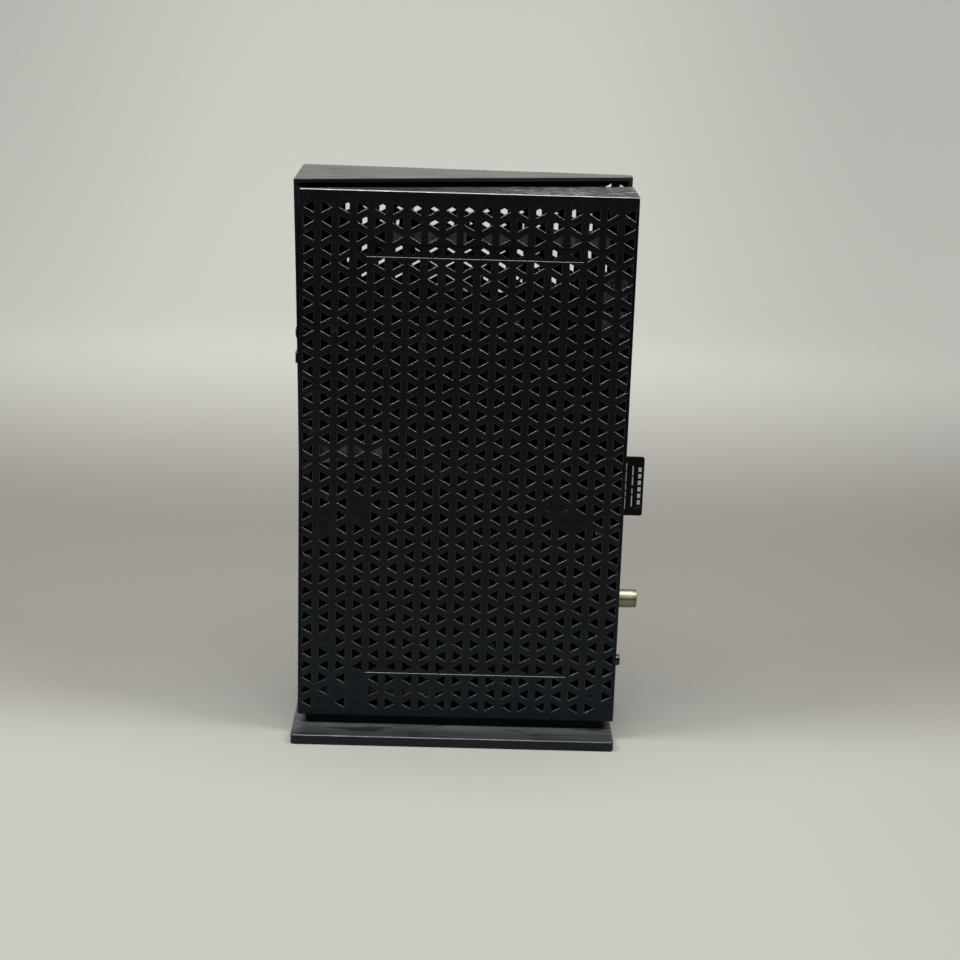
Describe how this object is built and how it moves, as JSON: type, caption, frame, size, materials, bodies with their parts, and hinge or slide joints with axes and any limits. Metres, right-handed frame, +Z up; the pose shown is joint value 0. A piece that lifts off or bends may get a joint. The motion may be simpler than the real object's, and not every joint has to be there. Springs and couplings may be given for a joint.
{
  "type": "wireless cable router",
  "caption": "Stand-up wireless cable router: tall wedge-split body with triangle-slotted panels on a flat stand, sockets and a coax connector on one edge, lights and buttons on the other.",
  "frame": {"origin": "centre of the stand's underside, on the surface it stands on", "axes": "+Z up; +X towards the narrow edge with the sockets, -X towards the narrow edge with the lights; -Y out of the broad front panel"},
  "size_m": [0.1755, 0.088, 0.2833],
  "materials": {
    "front_shell": "fine-textured satin black moulding",
    "rear_shell": "fine-textured satin black moulding",
    "port_black": "fine-textured black moulding",
    "stand_black": "satin black moulding",
    "neck_black": "gloss black moulding",
    "foot_rubber": "matt",
    "bezel_gloss": "piano black",
    "button_black": "satin black",
    "lens_clear": "clear light pipe",
    "frame_black": "plain black moulding",
    "board_green": "solder mask over glass fibre",
    "antenna_board": "bare olive laminate with copper tracks",
    "chip_black": "moulded package",
    "led_white": "small lamp package",
    "can_steel": "tinned sheet",
    "sink_black": "black anodised",
    "pad_grey": "soft silicone",
    "screw_steel": "zinc plated",
    "coax_nickel": "warm nickel plate",
    "insulator_white": "moulded dielectric",
    "contact_gold": "gold plate",
    "usb_steel": "nickel-plated shell",
    "tongue_black": "moulded",
    "jack_black": "moulded",
    "label_black": "printed card, plain marks",
    "capacitor_sleeve": "sleeved can",
    "lead_grey": "thin coaxial lead",
    "ribbon_white": "flat cable"
  },
  "bodies": {
    "housing": {"stand_base": "stand_black", "rubber_feet": "foot_rubber", "stand_neck": "neck_black", "stand_screws": "screw_steel", "front_cover": "front_shell", "rear_cover": "rear_shell", "port_panel": "port_black", "seam_strip_top": "frame_black", "seam_strip_bottom": "frame_black", "cover_screws": "screw_steel", "led_bezel": "bezel_gloss", "led_lenses": "lens_clear", "led_board": "board_green", "leds": "led_white", "wifi_switch": "tongue_black", "wps_switch": "tongue_black", "led_board_screws": "screw_steel", "main_board": "board_green", "inner_frame": "frame_black", "board_screws": "screw_steel", "frame_screws": "screw_steel", "modem_chip": "chip_black", "thermal_pad": "pad_grey", "heat_sink": "sink_black", "router_chip": "chip_black", "memory_chips": "chip_black", "wifi_shield": "can_steel", "tuner_shield": "can_steel", "capacitors": "capacitor_sleeve", "coax_connector": "coax_nickel", "coax_insulator": "insulator_white", "coax_nut": "coax_nickel", "dc_jack": "jack_black", "dc_pin": "contact_gold", "power_switch": "tongue_black", "reset_switch": "tongue_black", "label_sleeve": "frame_black", "lan_jack_1": "jack_black", "lan_jack_2": "jack_black", "lan_jack_3": "jack_black", "lan_jack_4": "jack_black", "lan_contacts": "contact_gold", "usb_port_lower": "usb_steel", "usb_port_upper": "usb_steel", "usb_tongues": "tongue_black", "antenna_board_1": "antenna_board", "antenna_board_2": "antenna_board", "antenna_board_3": "antenna_board", "antenna_lead_1": "lead_grey", "antenna_lead_2": "lead_grey", "antenna_lead_3": "lead_grey", "antenna_plugs": "contact_gold", "ribbon_cable": "ribbon_white"},
    "power_button": {"power_button": "button_black"},
    "wifi_button": {"wifi_button": "button_black"},
    "wps_button": {"wps_button": "button_black"},
    "reset_button": {"reset_button": "tongue_black"},
    "label_card": {"label_card": "label_black"}
  },
  "joints": [
    {"name": "power_press", "type": "slide", "parent": "housing", "child": "power_button", "axis": [-1, 0, 0], "range_m": [0, 0.0022], "stiffness_N_per_m": 400},
    {"name": "wifi_press", "type": "slide", "parent": "housing", "child": "wifi_button", "axis": [1, 0, 0], "range_m": [0, 0.0005], "stiffness_N_per_m": 900},
    {"name": "wps_press", "type": "slide", "parent": "housing", "child": "wps_button", "axis": [1, 0, 0], "range_m": [0, 0.0005], "stiffness_N_per_m": 900},
    {"name": "reset_press", "type": "slide", "parent": "housing", "child": "reset_button", "axis": [-1, 0, 0], "range_m": [0, 0.0004], "stiffness_N_per_m": 900},
    {"name": "label_slide", "type": "slide", "parent": "housing", "child": "label_card", "axis": [1, 0, 0], "range_m": [-0.0095, 0.028]}
  ]
}
